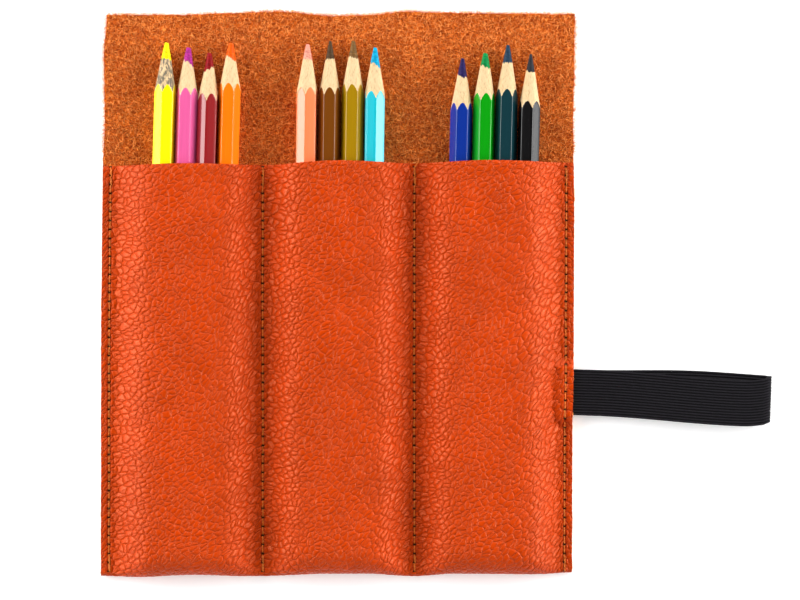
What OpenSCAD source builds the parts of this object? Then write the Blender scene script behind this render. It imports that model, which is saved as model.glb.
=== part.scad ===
// Leather pencil case with three sewn pockets, an elastic closing loop and twelve coloured pencils.
// It lies open on its back: +X runs to the elastic, +Y to the pencil tips, +Z up.
// The origin is the middle of the leather's rest face.

/* [Leather] */
// Width of the open case, edge to edge
case_w = 162; // [156:1:180]
// Height of the open case, bottom fold to flap edge
case_h = 194; // [190:1:210]
// Thickness of one layer of leather
leather_t = 1.3; // [1:0.1:1.6]
// Depth of the pockets, bottom fold to mouth
pocket_depth = 142.5; // [130:0.5:150]
// Distance from the side edges to their seams
edge_margin = 2.7; // [2:0.1:4]
// Rise of a filled pocket over its flat seams
pocket_rise = 8.4; // [8.2:0.1:9]

/* [Sewing] */
// Length of one stitch
stitch_pitch = 3.1; // [2.5:0.1:4]
// Diameter of the thread
thread_d = 0.6; // [0.4:0.1:0.8]

/* [Elastic] */
// Width of the elastic band
band_w = 16; // [12:1:20]
// Thickness of the elastic band
band_t = 0.9; // [0.8:0.1:1.2]
// Reach of the relaxed loop beyond the leather
loop_reach = 68; // [50:1:90]
// Height of the band's middle over the bottom fold
band_height = 63.5; // [30:0.5:110]

/* [Pencils] */
// Distance across the flats of a pencil
pencil_flats = 6.7; // [6.2:0.1:6.8]
// Diameter of the coloured core
core_d = 3.5; // [2.8:0.1:3.8]
// Radius lost per millimetre along the sharpened cone
sharpening = 0.18; // [0.15:0.01:0.25]

/* [Hidden] */
// Colour name, place across the mouth, turn about its own axis, length, radius of the worn tip, paint
left_pencils = [
    ["yellow", -60.5, 5, 174.4, 0.85, "yellow"],
    ["magenta", -52.8, -12, 172.7, 0.62, "orchid"],
    ["red", -45.45, 27, 170.9, 0.69, "firebrick"],
    ["orange", -38.1, -8, 174.1, 0.88, "darkorange"],
];
middle_pencils = [
    ["peach", -11.1, 12, 173.8, 0.62, "lightsalmon"],
    ["brown", -3.35, 0, 175, 0.46, "saddlebrown"],
    ["ochre", 4.6, -8, 175, 0.54, "olive"],
    ["sky_blue", 12.15, -25, 172.7, 0.62, "turquoise"],
];
right_pencils = [
    ["blue", 41.9, 8, 169, 0.55, "mediumblue"],
    ["green", 49.7, 12, 170.8, 0.9, "forestgreen"],
    ["teal", 57.5, 0, 173.6, 0.6, "darkslategray"],
    ["black", 65.8, -15, 170.4, 0.53, "black"],
];
// Lean of each pocket's pencils towards +X, in degrees
left_lean = 1.7;
middle_lean = 0.8;
right_lean = 1.4;

panel_names = ["left", "middle", "right"];
seam_names = ["left_edge", "left_inner", "right_inner", "right_edge"];
all_pencils = concat(left_pencils, middle_pencils, right_pencils);

$fn = 48;
half_w = case_w / 2;
half_h = case_h / 2;
mouth_y = pocket_depth - half_h;
seam_top = 2 * leather_t;

// The four seams stand at even spacing
seam_step = (case_w - 2 * edge_margin) / 3;
seam_x = [for (i = [0:3]) -half_w + edge_margin + i * seam_step];
// Flat strip beside each seam, on either side of the stitches
strip_half = 1.2;
// The outer pockets fold up about lines just outside the inner seams
fold_x = seam_x[2] + strip_half;
fold_gap = 0.1;

// Steepness of a pocket's flank, and how tightly it rounds into the crown
flank_slope = 0.9;
crown_power = 6;
// Sideways shift of the pocket's inner face that keeps the flank one leather thick
flank_shift = 0.5;
// Length over which a pocket closes down to the bottom fold
bottom_run = 8.5;

band_y = band_height - half_h;
band_stack = 2 * band_t;
sewn_depth = 7.4;
bulge_fade = 3;
loop_turn = -2;
hinge_gap = 1.6;
leg_gap = 1;
nose_r = 2.85;

butt_y = 9.5 - half_h;
pencil_r = pencil_flats / 2 / cos(30);
pencil_play = 0.02;

groove_w = 0.8;
groove_depth = thread_d + 0.05;
seam_end_gap = 1.2;
stitch_gap = 0.8;

// Height of a pocket over its seams, at a distance from its edge
function flank(d) =
    d <= 0 ? 0 : flank_slope * d / pow(1 + pow(flank_slope * d / pocket_rise, crown_power), 1 / crown_power);

// Share of the full height at a distance from the bottom fold
function closing(d) = d <= 0 ? 0 : d >= bottom_run ? 1 : sqrt(1 - pow(1 - d / bottom_run, 2));

// Ends of each pocket's hollow
pocket_ends = [
    [seam_x[0] + strip_half, -fold_x - fold_gap],
    [seam_x[1] + strip_half, seam_x[2] - strip_half],
    [fold_x + fold_gap, seam_x[3] - strip_half],
];
panel_ends = [
    [-half_w, -fold_x - fold_gap],
    [-fold_x + fold_gap, fold_x - fold_gap],
    [fold_x + fold_gap, half_w],
];

// Swell of the right-hand margin over the sewn ends of the elastic
function band_bulge(x, y) =
    x < half_w / 2 ? 0 : band_stack * max(0, min(1, (band_w / 2 + bulge_fade + 0.8 - abs(y - band_y)) / bulge_fade));

function pocket_height(i, x, y, inset) =
    flank(min(x - pocket_ends[i][0], pocket_ends[i][1] - x) - inset * flank_shift)
    * closing(y + half_h - inset * leather_t);

function outer_face(i, x, y) = seam_top + max(pocket_height(i, x, y, 0), band_bulge(x, y));
function inner_face(i, x, y) = leather_t + max(pocket_height(i, x, y, 1), band_bulge(x, y));

// Stations across and along a pocket where its curved faces are laid out
flank_stations = [0, 0.5, 1.5, 3, 4.5, 6, 7.5, 9, 10.5, 12, 14, 17, 21];
fold_stations = [0, 0.3, 1, 1.3, 2, 3, 4.5, 6.5, 8.5, 9.8];

function stations_x(i) = concat(
    i == 0 ? [-half_w] : i == 1 ? [panel_ends[1][0]] : [],
    [for (d = flank_stations) pocket_ends[i][0] + d],
    [for (n = [len(flank_stations) - 1:-1:0]) pocket_ends[i][1] - flank_stations[n]],
    i == 1 ? [panel_ends[1][1]] : i == 2 ? [half_w] : []
);
function stations_y(i) = concat(
    [for (d = fold_stations) d - half_h],
    i == 2 ? [for (s = [-1, 1]) for (e = s < 0 ? [bulge_fade, 0] : [0, bulge_fade])
        band_y + s * (band_w / 2 + 0.8 + e)] : [-40],
    [0, mouth_y]
);

// Closed sheet between an upper and an under face, laid out on a grid of stations
module curved_sheet(xs, ys, upper, under) {
    nx = len(xs);
    ny = len(ys);
    top_points = [for (y = ys) for (x = xs) [x, y, upper(x, y)]];
    low_points = [for (y = ys) for (x = xs) [x, y, under(x, y)]];
    low = nx * ny;
    cells = [for (j = [0:ny - 2]) for (i = [0:nx - 2]) j * nx + i];
    rim = concat(
        [for (i = [0:nx - 1]) i],
        [for (j = [1:ny - 1]) j * nx + nx - 1],
        [for (i = [nx - 2:-1:0]) (ny - 1) * nx + i],
        [for (j = [ny - 2:-1:1]) j * nx]
    );
    polyhedron(
        points = concat(top_points, low_points),
        faces = concat(
            [for (c = cells) [c, c + nx, c + nx + 1]],
            [for (c = cells) [c, c + nx + 1, c + 1]],
            [for (c = cells) [low + c, low + c + nx + 1, low + c + nx]],
            [for (c = cells) [low + c, low + c + 1, low + c + nx + 1]],
            [for (n = [0:len(rim) - 1]) let (a = rim[n], b = rim[(n + 1) % len(rim)]) [a, b, low + b]],
            [for (n = [0:len(rim) - 1]) let (a = rim[n], b = rim[(n + 1) % len(rim)]) [a, low + b, low + a]]
        )
    );
}

// Back of one third of the case and its part of the flap, grooved underneath for the seams
module back_panel(i) {
    color("chocolate")
    difference() {
        translate([panel_ends[i][0], -half_h, 0])
        cube([panel_ends[i][1] - panel_ends[i][0], case_h, leather_t]);
        for (x = seam_x)
            translate([x - groove_w / 2, -half_h + seam_end_gap / 2, -1])
            cube([groove_w, pocket_depth - seam_end_gap, 1 + groove_depth]);
    }
}

// Front of one pocket, from the bottom fold to the mouth
module pocket_front(i) {
    color("orangered")
    curved_sheet(
        stations_x(i), stations_y(i),
        function(x, y) outer_face(i, x, y),
        function(x, y) inner_face(i, x, y)
    );
}

// Places of the stitches along a seam
stitch_length = stitch_pitch - stitch_gap;
stitch_count = floor((pocket_depth - 2 * seam_end_gap) / stitch_pitch);
stitch_ys = [for (n = [0:stitch_count - 1]) mouth_y - seam_end_gap - (n + 1) * stitch_pitch + stitch_gap / 2];

module stitch(x, y, z) {
    translate([x, y, z])
    rotate([-90, 0, 0])
    cylinder(d = thread_d, h = stitch_length, $fn = 24);
}

// Stitches on the front of a seam
module top_thread(s) {
    color("darkgoldenrod")
    for (y = stitch_ys)
        stitch(seam_x[s], y, seam_top + thread_d / 2 + (s == 3
            ? max(band_bulge(seam_x[3], y), band_bulge(seam_x[3], y + stitch_length)) : 0));
}

// Stitches on the back of a seam, sunk in its groove
module bobbin_thread(s) {
    color("darkgoldenrod")
    for (y = stitch_ys)
        stitch(seam_x[s], y, groove_depth - thread_d / 2);
}

// The two ends of the elastic, one on the other between the leathers of the right-hand edge
module elastic_sewn_ends() {
    color("black")
    for (layer = [0, 1])
        translate([half_w - sewn_depth, band_y - band_w / 2, leather_t + layer * band_t])
        cube([sewn_depth, band_w, band_t]);
}

// Line where the loop swings, and the loop's own frame, which turns a little towards the bottom fold
swing_x = half_w + hinge_gap;
swing_z = leather_t + band_t;
leg_end = loop_reach - hinge_gap - nose_r;
nose_z = nose_r + 0.2;

module in_loop_frame() {
    translate([swing_x, band_y, 0])
    rotate([0, 0, loop_turn])
    rotate([90, 0, 0])
    translate([0, 0, -band_w / 2])
    children();
}

// Height of a leg's middle along the loop, easing from its sewn end to the nose
leg_steps = 10;
function ease(u) = u * u * (3 - 2 * u);
function leg_z(u, from, to, run) = from + (to - from) * ease(min(1, u / run));

module elastic_leg(from, to, run) {
    stations = [for (n = [0:leg_steps]) n / leg_steps];
    in_loop_frame()
    linear_extrude(band_w)
    polygon(concat(
        [for (u = stations) [leg_gap + u * (leg_end - leg_gap), leg_z(u, from, to, run) + band_t / 2]],
        [for (n = [leg_steps:-1:0])
            [leg_gap + stations[n] * (leg_end - leg_gap), leg_z(stations[n], from, to, run) - band_t / 2]]
    ));
}

module elastic_upper_leg() {
    color("dimgray")
    elastic_leg(swing_z + band_t / 2, nose_z + nose_r - band_t / 2, 0.9);
}

module elastic_lower_leg() {
    color("dimgray")
    elastic_leg(swing_z - band_t / 2, nose_z - nose_r + band_t / 2, 0.4);
}

// Round end of the loop
module elastic_nose() {
    color("black")
    in_loop_frame()
    translate([leg_end, nose_z, 0])
    difference() {
        cylinder(r = nose_r, h = band_w);
        translate([0, 0, -1])
        cylinder(r = nose_r - band_t, h = band_w + 2);
        translate([-2 * nose_r, -2 * nose_r, -1])
        cube([2 * nose_r, 4 * nose_r, band_w + 2]);
    }
}

// A pencil's own frame: along +Z from its butt to its tip
function lean_of(p) = p[1] < -fold_x ? left_lean : p[1] > fold_x ? right_lean : middle_lean;

module in_pencil_frame(p) {
    run = mouth_y - butt_y;
    translate([p[1], mouth_y, leather_t + pencil_r * cos(30 - abs(p[2])) + pencil_play])
    rotate([0, 0, -lean_of(p)])
    translate([0, -run, 0])
    rotate([-90, 0, 0])
    rotate([0, 0, p[2]])
    children();
}

// Everything that the sharpener leaves of a pencil's length
module sharpened(p) {
    wide = pencil_r + 1;
    rotate_extrude()
    polygon([[0, 0], [wide, 0], [wide, p[3] - (wide - p[4]) / sharpening], [p[4], p[3]], [0, p[3]]]);
}

// Painted hexagonal wood
module pencil_barrel(p) {
    color(p[5])
    in_pencil_frame(p)
    difference() {
        intersection() {
            cylinder(r = pencil_r, h = p[3], $fn = 6);
            sharpened(p);
        }
        translate([0, 0, -1])
        cylinder(d = core_d, h = p[3] + 2);
    }
}

// Coloured core, from the butt to the worn tip
module pencil_core(p) {
    color(p[5])
    in_pencil_frame(p)
    intersection() {
        cylinder(d = core_d, h = p[3]);
        sharpened(p);
    }
}

for (i = [0:2]) {
    back_panel(i);
    pocket_front(i);
}
for (s = [0:3]) {
    top_thread(s);
    bobbin_thread(s);
}
elastic_sewn_ends();
elastic_upper_leg();
elastic_lower_leg();
elastic_nose();
for (p = all_pencils) {
    pencil_barrel(p);
    pencil_core(p);
}
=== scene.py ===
import math
from random import Random

import bmesh
import bpy
from bpy.props import FloatProperty, FloatVectorProperty, IntProperty, PointerProperty
from mathutils import Matrix, Vector, noise


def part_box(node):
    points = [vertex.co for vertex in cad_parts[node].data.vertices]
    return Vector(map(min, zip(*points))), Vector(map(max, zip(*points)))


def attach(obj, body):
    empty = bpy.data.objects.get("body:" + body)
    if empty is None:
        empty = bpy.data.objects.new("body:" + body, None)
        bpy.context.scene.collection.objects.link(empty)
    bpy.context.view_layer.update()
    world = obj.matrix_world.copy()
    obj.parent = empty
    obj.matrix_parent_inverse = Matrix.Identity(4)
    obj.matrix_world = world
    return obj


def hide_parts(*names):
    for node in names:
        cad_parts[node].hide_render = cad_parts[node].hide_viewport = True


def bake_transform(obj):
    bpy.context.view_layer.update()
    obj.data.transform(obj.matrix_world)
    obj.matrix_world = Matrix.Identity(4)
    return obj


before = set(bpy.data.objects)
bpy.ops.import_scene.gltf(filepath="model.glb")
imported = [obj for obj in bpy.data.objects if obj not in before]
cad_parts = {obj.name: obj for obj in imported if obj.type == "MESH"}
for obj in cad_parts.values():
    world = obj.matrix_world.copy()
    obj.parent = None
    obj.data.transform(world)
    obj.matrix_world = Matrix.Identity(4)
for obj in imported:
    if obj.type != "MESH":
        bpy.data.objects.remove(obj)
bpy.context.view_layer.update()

bl_info = {
    "name": "Leather Pencil Case",
    "version": (1, 0, 0),
    "blender": (4, 5, 0),
    "location": "3D View > Sidebar > Pencil Case",
    "description": "Builds an open leather pencil case with twelve coloured pencils",
    "category": "Object",
}

MM = 0.001

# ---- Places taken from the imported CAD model, in millimetres ----


def cad_box(node):
    """Lowest and highest corners of a CAD node, in millimetres."""
    low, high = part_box(node)
    return [c / MM for c in low], [c / MM for c in high]


SIDES = ("left", "middle", "right")
SEAMS = ("left_edge", "left_inner", "right_inner", "right_edge")
SEAM_X = [(cad_box(f"{s}_top_thread")[0][0] + cad_box(f"{s}_top_thread")[1][0]) / 2 for s in SEAMS]
BACK_LOW, BACK_HIGH = cad_box("left_back_panel")
HALF_W = -BACK_LOW[0]
HALF_H = BACK_HIGH[1]
LEATHER = BACK_HIGH[2]
MOUTH_Y = cad_box("left_pocket_front")[1][1]
CROWN_Z = cad_box("left_pocket_front")[1][2]
FOLD_X = (cad_box("middle_back_panel")[1][0] + cad_box("right_back_panel")[0][0]) / 2
STRIP_HALF = FOLD_X - SEAM_X[2]
RISE = CROWN_Z - 2 * LEATHER
SPANS = {"left": (-HALF_W, -FOLD_X), "middle": (-FOLD_X, FOLD_X), "right": (FOLD_X, HALF_W)}
HOLLOWS = {
    "left": (SEAM_X[0] + STRIP_HALF, -FOLD_X - 0.1),
    "middle": (SEAM_X[1] + STRIP_HALF, SEAM_X[2] - STRIP_HALF),
    "right": (FOLD_X + 0.1, SEAM_X[3] - STRIP_HALF),
}
BAND_LOW, BAND_HIGH = cad_box("elastic_sewn_ends")
BAND_Y = (BAND_LOW[1] + BAND_HIGH[1]) / 2
BAND_W = BAND_HIGH[1] - BAND_LOW[1]
BAND_T = (BAND_HIGH[2] - BAND_LOW[2]) / 2

# Where the underside passes from the pocket front's leather to the back's
UNDER_START = 10.0 - HALF_H

# The cut edges of the hide wander a little: (place along the edge, place or offset across it)
TOP_EDGE = ((-81, 96.6), (-55, 96.5), (-38, 97.1), (-20, 97.6), (-2, 96.2), (8, 96.3), (24, 97.6),
            (45, 97.2), (81, 96.8))
BOTTOM_EDGE = ((-81, -96.8), (-70, -97.1), (-50, -96.3), (-28, -96.9), (-4, -95.9), (10, -95.9),
               (26, -96.9), (40, -95.9), (70, -96.1), (81, -95.6))
MOUTH_EDGE = ((-81, 44.4), (-52, 45.3), (-26, 44.8), (0, 46.3), (26, 45.4), (52, 46.4), (81, 45.6))
LEFT_EDGE = ((-97, -0.8), (-14, -0.8), (14, -0.5), (41, -0.2), (60, 0.4), (83, 0.2), (97, 1.1))
RIGHT_EDGE = ((-97, -0.6), (-50, -0.4), (-10, 0.1), (30, 0.2), (60, -0.1), (97, 0.5))

# Stitches: length of one, and where the first hole lies under the mouth
PITCH = 3.1
END_GAP = 1.2
STITCHES = 45


# ---- Properties: the sizes and colours a user would change ----


def length(name, about, metres, low=0.0, high=1.0):
    return FloatProperty(
        name=name, description=about, default=metres, min=low, max=high,
        subtype="DISTANCE", unit="LENGTH", precision=5,
    )


def colour(name, about, value):
    return FloatVectorProperty(
        name=name, description=about, default=value, min=0.0, max=1.0, size=3, subtype="COLOR"
    )


class LeatherSettings(bpy.types.PropertyGroup):
    """Sizes and colours of the hide."""

    grain_colour: colour("Grain colour", "Colour of the pebbled outer side", (0.53, 0.042, 0.0008))
    # Painted shade: the colour painted into the creases between the pebbles, and faintly into the seam
    # grooves
    crease_shade_colour: colour("Crease colour", "Colour between the pebbles", (0.2, 0.011, 0.001))
    flesh_colour: colour("Flesh colour", "Colour of the napped inner side", (0.7, 0.128, 0.0095))
    # Painted shade colour for the hollows of the nap, also used for its darker patches
    flesh_deep: colour("Flesh shade", "Colour deep in the nap", (0.24, 0.03, 0.002))
    fibre_colour: colour("Fibre colour", "Colour of the loose nap fibres", (1.0, 0.37, 0.078))
    edge_colour: colour("Cut edge colour", "Colour of the raw cut edges", (0.85, 0.3, 0.06))
    pebble_size: length("Pebble size", "Typical width of one pebble of the grain", 0.00182, 0.001, 0.006)
    pebble_relief: length("Pebble relief", "Height of the pebbles over their creases", 0.00013, 0.0, 0.0006)
    mesh_step: length("Mesh step", "Spacing of the grain side's mesh", 0.00047, 0.0003, 0.003)
    fibre_length: length("Fibre length", "Typical length of one nap fibre", 0.0021, 0.0005, 0.005)
    fibre_radius: length("Fibre radius", "Radius of one nap fibre at its root", 0.000095, 0.00002, 0.0003)
    fibres_per_panel: IntProperty(
        name="Fibres per third", description="Loose nap fibres on each third of the flap",
        default=6500, min=0, max=9000,
    )


class SewingSettings(bpy.types.PropertyGroup):
    """Sizes and colours of the sewing thread."""

    thread_colour: colour("Thread colour", "Colour of the sewing thread", (0.9, 0.22, 0.012))
    ply_radius: length("Ply radius", "Radius of one of the thread's two plies", 0.00012, 0.0001, 0.0004)
    hole_radius: length("Hole radius", "Radius of a needle hole", 0.00046, 0.0002, 0.0008)


class ElasticSettings(bpy.types.PropertyGroup):
    """Sizes and colours of the elastic band."""

    band_colour: colour("Band colour", "Colour of the elastic's ribs", (0.0145, 0.0125, 0.0168))
    # Painted shade: a near-black colour painted between the ribs and into the gaps of the knit
    rib_gap_shade_colour: colour("Groove colour", "Colour between the ribs", (0.0007, 0.0006, 0.001))
    ribs: IntProperty(name="Ribs", description="Raised cords across the band", default=17, min=6, max=30)
    rib_relief: length("Rib relief", "Height of a rib over its groove", 0.00014, 0.0, 0.0004)


class PencilSettings(bpy.types.PropertyGroup):
    """Paint and core colours of the pencils, and the shared wood."""

    wood_colour: colour("Wood colour", "Colour of the sharpened wood", (0.66, 0.47, 0.25))
    streak_colour: colour("Streak colour", "Colour of the wood's darker streaks", (0.34, 0.19, 0.08))
    corner_radius: length("Corner radius", "Rounding of the hexagon's corners", 0.00048, 0.0001, 0.001)
    yellow_paint: colour("Yellow paint", "Lacquer of the yellow pencil", (0.9, 0.82, 0.0))
    magenta_paint: colour("Magenta paint", "Lacquer of the magenta pencil", (0.67, 0.094, 0.28))
    red_paint: colour("Red paint", "Lacquer of the red pencil", (0.25, 0.006, 0.008))
    orange_paint: colour("Orange paint", "Lacquer of the orange pencil", (0.9, 0.165, 0.001))
    peach_paint: colour("Peach paint", "Lacquer of the peach pencil", (0.9, 0.195, 0.065))
    brown_paint: colour("Brown paint", "Lacquer of the brown pencil", (0.155, 0.042, 0.002))
    ochre_paint: colour("Ochre paint", "Lacquer of the ochre pencil", (0.31, 0.175, 0.001))
    sky_blue_paint: colour("Sky blue paint", "Lacquer of the sky blue pencil", (0.002, 0.43, 0.52))
    blue_paint: colour("Blue paint", "Lacquer of the blue pencil", (0.003, 0.025, 0.24))
    green_paint: colour("Green paint", "Lacquer of the green pencil", (0.001, 0.27, 0.002))
    teal_paint: colour("Teal paint", "Lacquer of the teal pencil", (0.004, 0.03, 0.038))
    black_paint: colour("Black paint", "Lacquer of the black pencil", (0.003, 0.0025, 0.003))
    yellow_core: colour("Yellow core", "Core of the yellow pencil", (0.9, 0.82, 0.002))
    magenta_core: colour("Magenta core", "Core of the magenta pencil", (0.42, 0.025, 0.25))
    red_core: colour("Red core", "Core of the red pencil", (0.28, 0.006, 0.01))
    orange_core: colour("Orange core", "Core of the orange pencil", (0.88, 0.11, 0.002))
    peach_core: colour("Peach core", "Core of the peach pencil", (0.85, 0.32, 0.23))
    brown_core: colour("Brown core", "Core of the brown pencil", (0.085, 0.045, 0.02))
    ochre_core: colour("Ochre core", "Core of the ochre pencil", (0.2, 0.1, 0.03))
    sky_blue_core: colour("Sky blue core", "Core of the sky blue pencil", (0.002, 0.36, 0.6))
    blue_core: colour("Blue core", "Core of the blue pencil", (0.022, 0.014, 0.09))
    green_core: colour("Green core", "Core of the green pencil", (0.002, 0.24, 0.055))
    teal_core: colour("Teal core", "Core of the teal pencil", (0.018, 0.045, 0.08))
    black_core: colour("Black core", "Core of the black pencil", (0.028, 0.028, 0.034))


class StageSettings(bpy.types.PropertyGroup):
    """Camera, floor and light."""

    floor_colour: colour("Floor colour", "Colour of the plain floor", (0.93, 0.93, 0.93))
    camera_height: length("Camera height", "Height of the camera over the floor", 2.2, 0.3, 5.0)
    view_width: length("View width", "Width of floor that the camera sees", 0.2759, 0.1, 1.0)
    side_light: FloatProperty(
        name="Side lights", description="Power of the soft lights, before each one's own share",
        default=6.6, min=0.0, max=100.0, unit="POWER",
    )
    room_light: FloatProperty(
        name="Room light", description="Brightness of the white room", default=1.15, min=0.0, max=5.0
    )


# ---- Building helpers ----


def smooth(low, high, value):
    """0 below low, 1 above high, easing between."""
    t = min(1.0, max(0.0, (value - low) / (high - low)))
    return t * t * (3 - 2 * t)


def along_edge(points, at):
    """Easing through the points of a wandering edge."""
    if at <= points[0][0]:
        return points[0][1]
    for (a, left), (b, right) in zip(points, points[1:]):
        if at <= b:
            return left + (right - left) * smooth(a, b, at)
    return points[-1][1]


def polar(radius, angle, height=0.0):
    """A place around the Z axis."""
    return Vector((radius * math.cos(angle), radius * math.sin(angle), height))


def finished(name, bm, materials, sharp_angle=50):
    """Turn a bmesh into an object of its own, smooth shaded, with creases kept sharp."""
    mesh = bpy.data.meshes.new(name)
    bm.to_mesh(mesh)
    bm.free()
    for material in materials:
        mesh.materials.append(material)
    mesh.polygons.foreach_set("use_smooth", [True] * len(mesh.polygons))
    mesh.set_sharp_from_angle(angle=math.radians(sharp_angle))
    piece = bpy.data.objects.new(name, mesh)
    bpy.context.scene.collection.objects.link(piece)
    return piece


def apply_modifiers(piece, sharp_angle=50):
    """Keep the shape that a piece's modifiers give it, and drop the modifiers."""
    depsgraph = bpy.context.evaluated_depsgraph_get()
    mesh = bpy.data.meshes.new_from_object(piece.evaluated_get(depsgraph), depsgraph=depsgraph)
    piece.modifiers.clear()
    old = piece.data
    piece.data = mesh
    bpy.data.meshes.remove(old)
    mesh.polygons.foreach_set("use_smooth", [True] * len(mesh.polygons))
    mesh.set_sharp_from_angle(angle=math.radians(sharp_angle))


def loft(bm, segments, rings, radius, closed=True, material=lambda ring: 0):
    """Grow a tube from a circle by extruding its edge, moving each new ring into place.

    rings[n](angle) gives the place of ring n's vertex at that angle. Returns the edges of both ends.
    """
    start = bmesh.ops.create_circle(bm, cap_ends=False, segments=segments, radius=radius)["verts"]
    angles = [math.atan2(v.co.y, v.co.x) for v in start]
    for vert, angle in zip(start, angles):
        vert.co = rings[0](angle)
    angle_of = {vert: angle for vert, angle in zip(start, angles)}
    edges = list(dict.fromkeys(edge for vert in start for edge in vert.link_edges))
    first_edges = edges
    for number, ring in enumerate(rings[1:], 1):
        grown = bmesh.ops.extrude_edge_only(bm, edges=edges)["geom"]
        new_verts = [g for g in grown if isinstance(g, bmesh.types.BMVert)]
        new_edges = [g for g in grown if isinstance(g, bmesh.types.BMEdge)]
        new_set = set(new_verts)
        for vert in new_verts:
            below = [e.other_vert(vert) for e in vert.link_edges if e.other_vert(vert) not in new_set]
            angle_of[vert] = next(angle_of[b] for b in below if b in angle_of)
        for vert in new_verts:
            vert.co = ring(angle_of[vert])
            for face in vert.link_faces:
                face.material_index = material(number)
        edges = [e for e in new_edges if e.verts[0] in new_set and e.verts[1] in new_set]
    if closed:
        bmesh.ops.edgeloop_fill(bm, edges=first_edges, mat_nr=material(0))
        bmesh.ops.edgeloop_fill(bm, edges=edges, mat_nr=material(len(rings) - 1))
    return first_edges, edges


class Recipe:
    """Adds and links the nodes of one material or geometry tree."""

    def __init__(self, tree):
        self.tree = tree

    def add(self, kind, inputs=None, **settings):
        made = self.tree.nodes.new(kind)
        for name, value in settings.items():
            setattr(made, name, value)
        self.feed(made, inputs or {})
        return made

    def feed(self, node, inputs):
        """Link or set sockets of a node, by name or number."""
        for name, value in inputs.items():
            if isinstance(value, bpy.types.NodeSocket):
                self.tree.links.new(value, node.inputs[name])
            else:
                node.inputs[name].default_value = value

    def maths(self, operation, a, b=0.0, c=0.0):
        return self.add("ShaderNodeMath", {0: a, 1: b, 2: c}, operation=operation).outputs[0]

    def vector(self, operation, a, b=(0, 0, 0)):
        return self.add("ShaderNodeVectorMath", {0: a, 1: b}, operation=operation).outputs[0]

    def scaled(self, vector, factor):
        return self.add("ShaderNodeVectorMath", {0: vector, "Scale": factor}, operation="SCALE").outputs[0]

    def ramp(self, value, low, high, to_low=0.0, to_high=1.0, kind="SMOOTHSTEP"):
        inputs = {"Value": value, "From Min": low, "From Max": high, "To Min": to_low, "To Max": to_high}
        return self.add("ShaderNodeMapRange", inputs, interpolation_type=kind).outputs["Result"]

    def noise(self, vector, scale, detail=2.0, roughness=0.5):
        """Noise from 0 to 1, as its grey value."""
        return self.cloud(vector, scale, detail, roughness).outputs[0]

    def cloud(self, vector, scale, detail, roughness=0.5):
        inputs = {"Vector": vector, "Scale": scale, "Detail": detail, "Roughness": roughness}
        return self.add("ShaderNodeTexNoise", inputs, noise_dimensions="3D")

    def mix(self, factor, a, b):
        """Mix two colours, each a socket or three numbers."""
        a, b = (c if isinstance(c, bpy.types.NodeSocket) else (*c[:3], 1.0) for c in (a, b))
        made = self.add("ShaderNodeMix", data_type="RGBA", blend_type="MIX", clamp_factor=True)
        self.feed(made, {0: factor, 6: a, 7: b})
        return made.outputs[2]

    def bump(self, height, strength, distance, **inputs):
        """A normal bent by a height of 0 to about 1, which stands for a distance in metres."""
        inputs.update({"Height": height, "Strength": strength, "Distance": distance})
        return self.add("ShaderNodeBump", inputs).outputs[0]

    def wander(self, vector, scale, reach, detail=1.0):
        """Shift a place by noise, by up to about reach."""
        shift = self.vector("SUBTRACT", self.cloud(vector, scale, detail).outputs["Color"], (0.5, 0.5, 0.5))
        return self.vector("ADD", vector, self.scaled(shift, 2 * reach))


def new_material(name):
    """A material with its shader, and the recipe that adds nodes to it."""
    material = bpy.data.materials.new(name)
    material.use_nodes = True
    recipe = Recipe(material.node_tree)
    shader = material.node_tree.nodes["Principled BSDF"]
    return material, recipe, shader


def place_of(recipe, attribute):
    """The piece's own flat coordinates, in millimetres."""
    made = recipe.add("ShaderNodeAttribute", attribute_type="GEOMETRY", attribute_name=attribute)
    return made.outputs["Vector"]


def place_in_case(recipe):
    """Coordinates in the case's frame, in millimetres."""
    return recipe.scaled(recipe.add("ShaderNodeTexCoord").outputs["Object"], 1 / MM)


def shade(colour, factor):
    """A colour made lighter or darker, no part of it over 1."""
    return [min(1.0, c * factor) for c in colour]


# ---- Leather: its grain, and the shape the hide takes ----


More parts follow.
